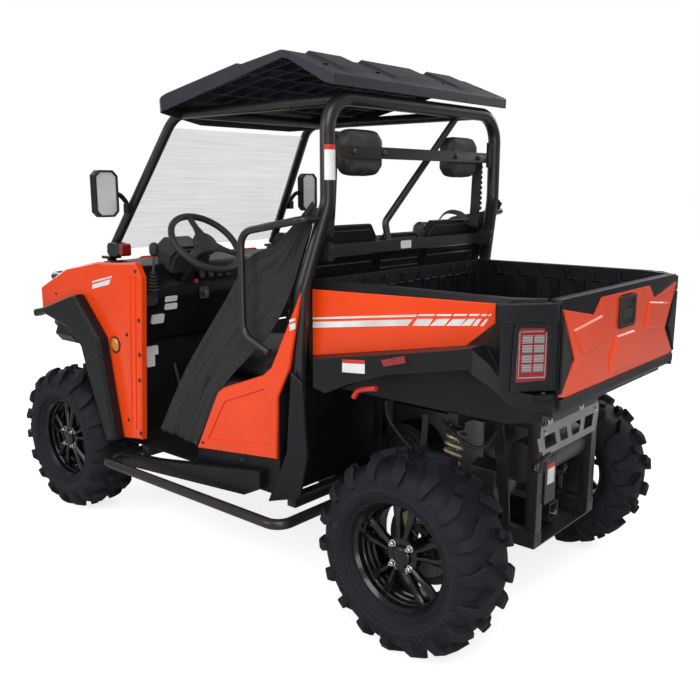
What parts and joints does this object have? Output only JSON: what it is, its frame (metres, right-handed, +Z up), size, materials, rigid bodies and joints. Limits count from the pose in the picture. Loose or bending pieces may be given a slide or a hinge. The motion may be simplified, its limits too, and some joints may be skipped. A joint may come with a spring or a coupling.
{
  "type": "side by side utility vehicle",
  "caption": "Side by side utility vehicle with a bench seat under a caged roof, a tipping cargo bed with a drop tailgate, and a tube bumper.",
  "frame": {"origin": "centre of the bounding box on the ground the tyres stand on", "axes": "+Z up, +Y toward the rear of the vehicle, +X toward the driver's left side"},
  "size_m": [1.4378, 2.83, 1.915],
  "materials": {
    "orange_panel": "satin",
    "black_plastic": "textured",
    "roof_plastic": "textured",
    "frame_paint": "satin",
    "tyre_rubber": "matt",
    "rim_alloy": "gloss black",
    "cushion_cover": "grained",
    "clear_screen": "clear",
    "bare_metal": "cast",
    "steel_plate": "brushed",
    "spring_steel": "gloss",
    "red_lens": "clear",
    "grip_plastic": "soft"
  },
  "bodies": {
    "vehicle": {"front_arms": "frame_paint", "rear_arms": "frame_paint", "shocks": "spring_steel", "chassis": "frame_paint", "deck_frame": "frame_paint", "rear_hoop": "frame_paint", "front_pillars": "frame_paint", "windscreen_bar": "frame_paint", "headrest_bar": "frame_paint", "headrests": "cushion_cover", "roof": "roof_plastic", "windshield": "clear_screen", "floor_pan": "black_plastic", "seat_box": "black_plastic", "dashboard": "black_plastic", "steering_column": "frame_paint", "seat_cushions": "cushion_cover", "seat_backs": "cushion_cover", "hood": "orange_panel", "front_fenders": "orange_panel", "front_flares": "black_plastic", "front_fascia": "black_plastic", "seat_side_panels": "orange_panel", "rear_side_panels": "black_plastic", "sills": "black_plastic", "step_bars": "frame_paint", "front_bumper": "frame_paint", "side_hoops": "frame_paint", "mirrors": "black_plastic", "engine": "bare_metal", "drive_case": "black_plastic", "muffler": "bare_metal", "hitch_receiver": "frame_paint", "guard_plate": "steel_plate"},
    "knuckle_left": {"knuckle_left": "bare_metal"},
    "knuckle_right": {"knuckle_right": "bare_metal"},
    "front_wheel_left": {"front_tyre_left": "tyre_rubber", "front_rim_left": "rim_alloy"},
    "front_wheel_right": {"front_tyre_right": "tyre_rubber", "front_rim_right": "rim_alloy"},
    "rear_wheel_left": {"rear_tyre_left": "tyre_rubber", "rear_rim_left": "rim_alloy"},
    "rear_wheel_right": {"rear_tyre_right": "tyre_rubber", "rear_rim_right": "rim_alloy"},
    "steering": {"steering_wheel": "grip_plastic"},
    "load_bed": {"bed_tub": "black_plastic", "bed_skins": "orange_panel", "rear_fenders": "black_plastic", "tail_lamps": "red_lens"},
    "gate": {"tailgate": "black_plastic", "tailgate_skin": "orange_panel"}
  },
  "joints": [
    {"name": "steer_left", "type": "hinge", "parent": "vehicle", "child": "knuckle_left", "pos_m": [0.478, -0.921, 0.33], "axis": [0, 0, 1], "range_deg": [-30, 30]},
    {"name": "steer_right", "type": "hinge", "parent": "vehicle", "child": "knuckle_right", "pos_m": [-0.478, -0.921, 0.33], "axis": [0, 0, 1], "range_deg": [-30, 30]},
    {"name": "steering_turn", "type": "hinge", "parent": "vehicle", "child": "steering", "pos_m": [0.29, -0.303, 1.231], "axis": [0, 0.6947, 0.7193], "range_deg": [-270, 270]},
    {"name": "front_spin_left", "type": "hinge", "parent": "knuckle_left", "child": "front_wheel_left", "pos_m": [0.56, -0.921, 0.33], "axis": [1, 0, 0], "continuous": true},
    {"name": "front_spin_right", "type": "hinge", "parent": "knuckle_right", "child": "front_wheel_right", "pos_m": [-0.56, -0.921, 0.33], "axis": [1, 0, 0], "continuous": true},
    {"name": "rear_spin_left", "type": "hinge", "parent": "vehicle", "child": "rear_wheel_left", "pos_m": [0.55, 0.985, 0.33], "axis": [1, 0, 0], "continuous": true},
    {"name": "rear_spin_right", "type": "hinge", "parent": "vehicle", "child": "rear_wheel_right", "pos_m": [-0.55, 0.985, 0.33], "axis": [1, 0, 0], "continuous": true},
    {"name": "bed_tilt", "type": "hinge", "parent": "vehicle", "child": "load_bed", "pos_m": [0, 1.195, 0.76], "axis": [-1, 0, 0], "range_deg": [0, 45]},
    {"name": "tailgate_drop", "type": "hinge", "parent": "load_bed", "child": "gate", "pos_m": [0, 1.386, 0.843], "axis": [-1, 0, 0], "range_deg": [0, 90]}
  ],
  "couplings": [
    {"joint": "steer_right", "follows": "steer_left", "ratio": 1},
    {"joint": "steering_turn", "follows": "steer_left", "ratio": 9}
  ]
}
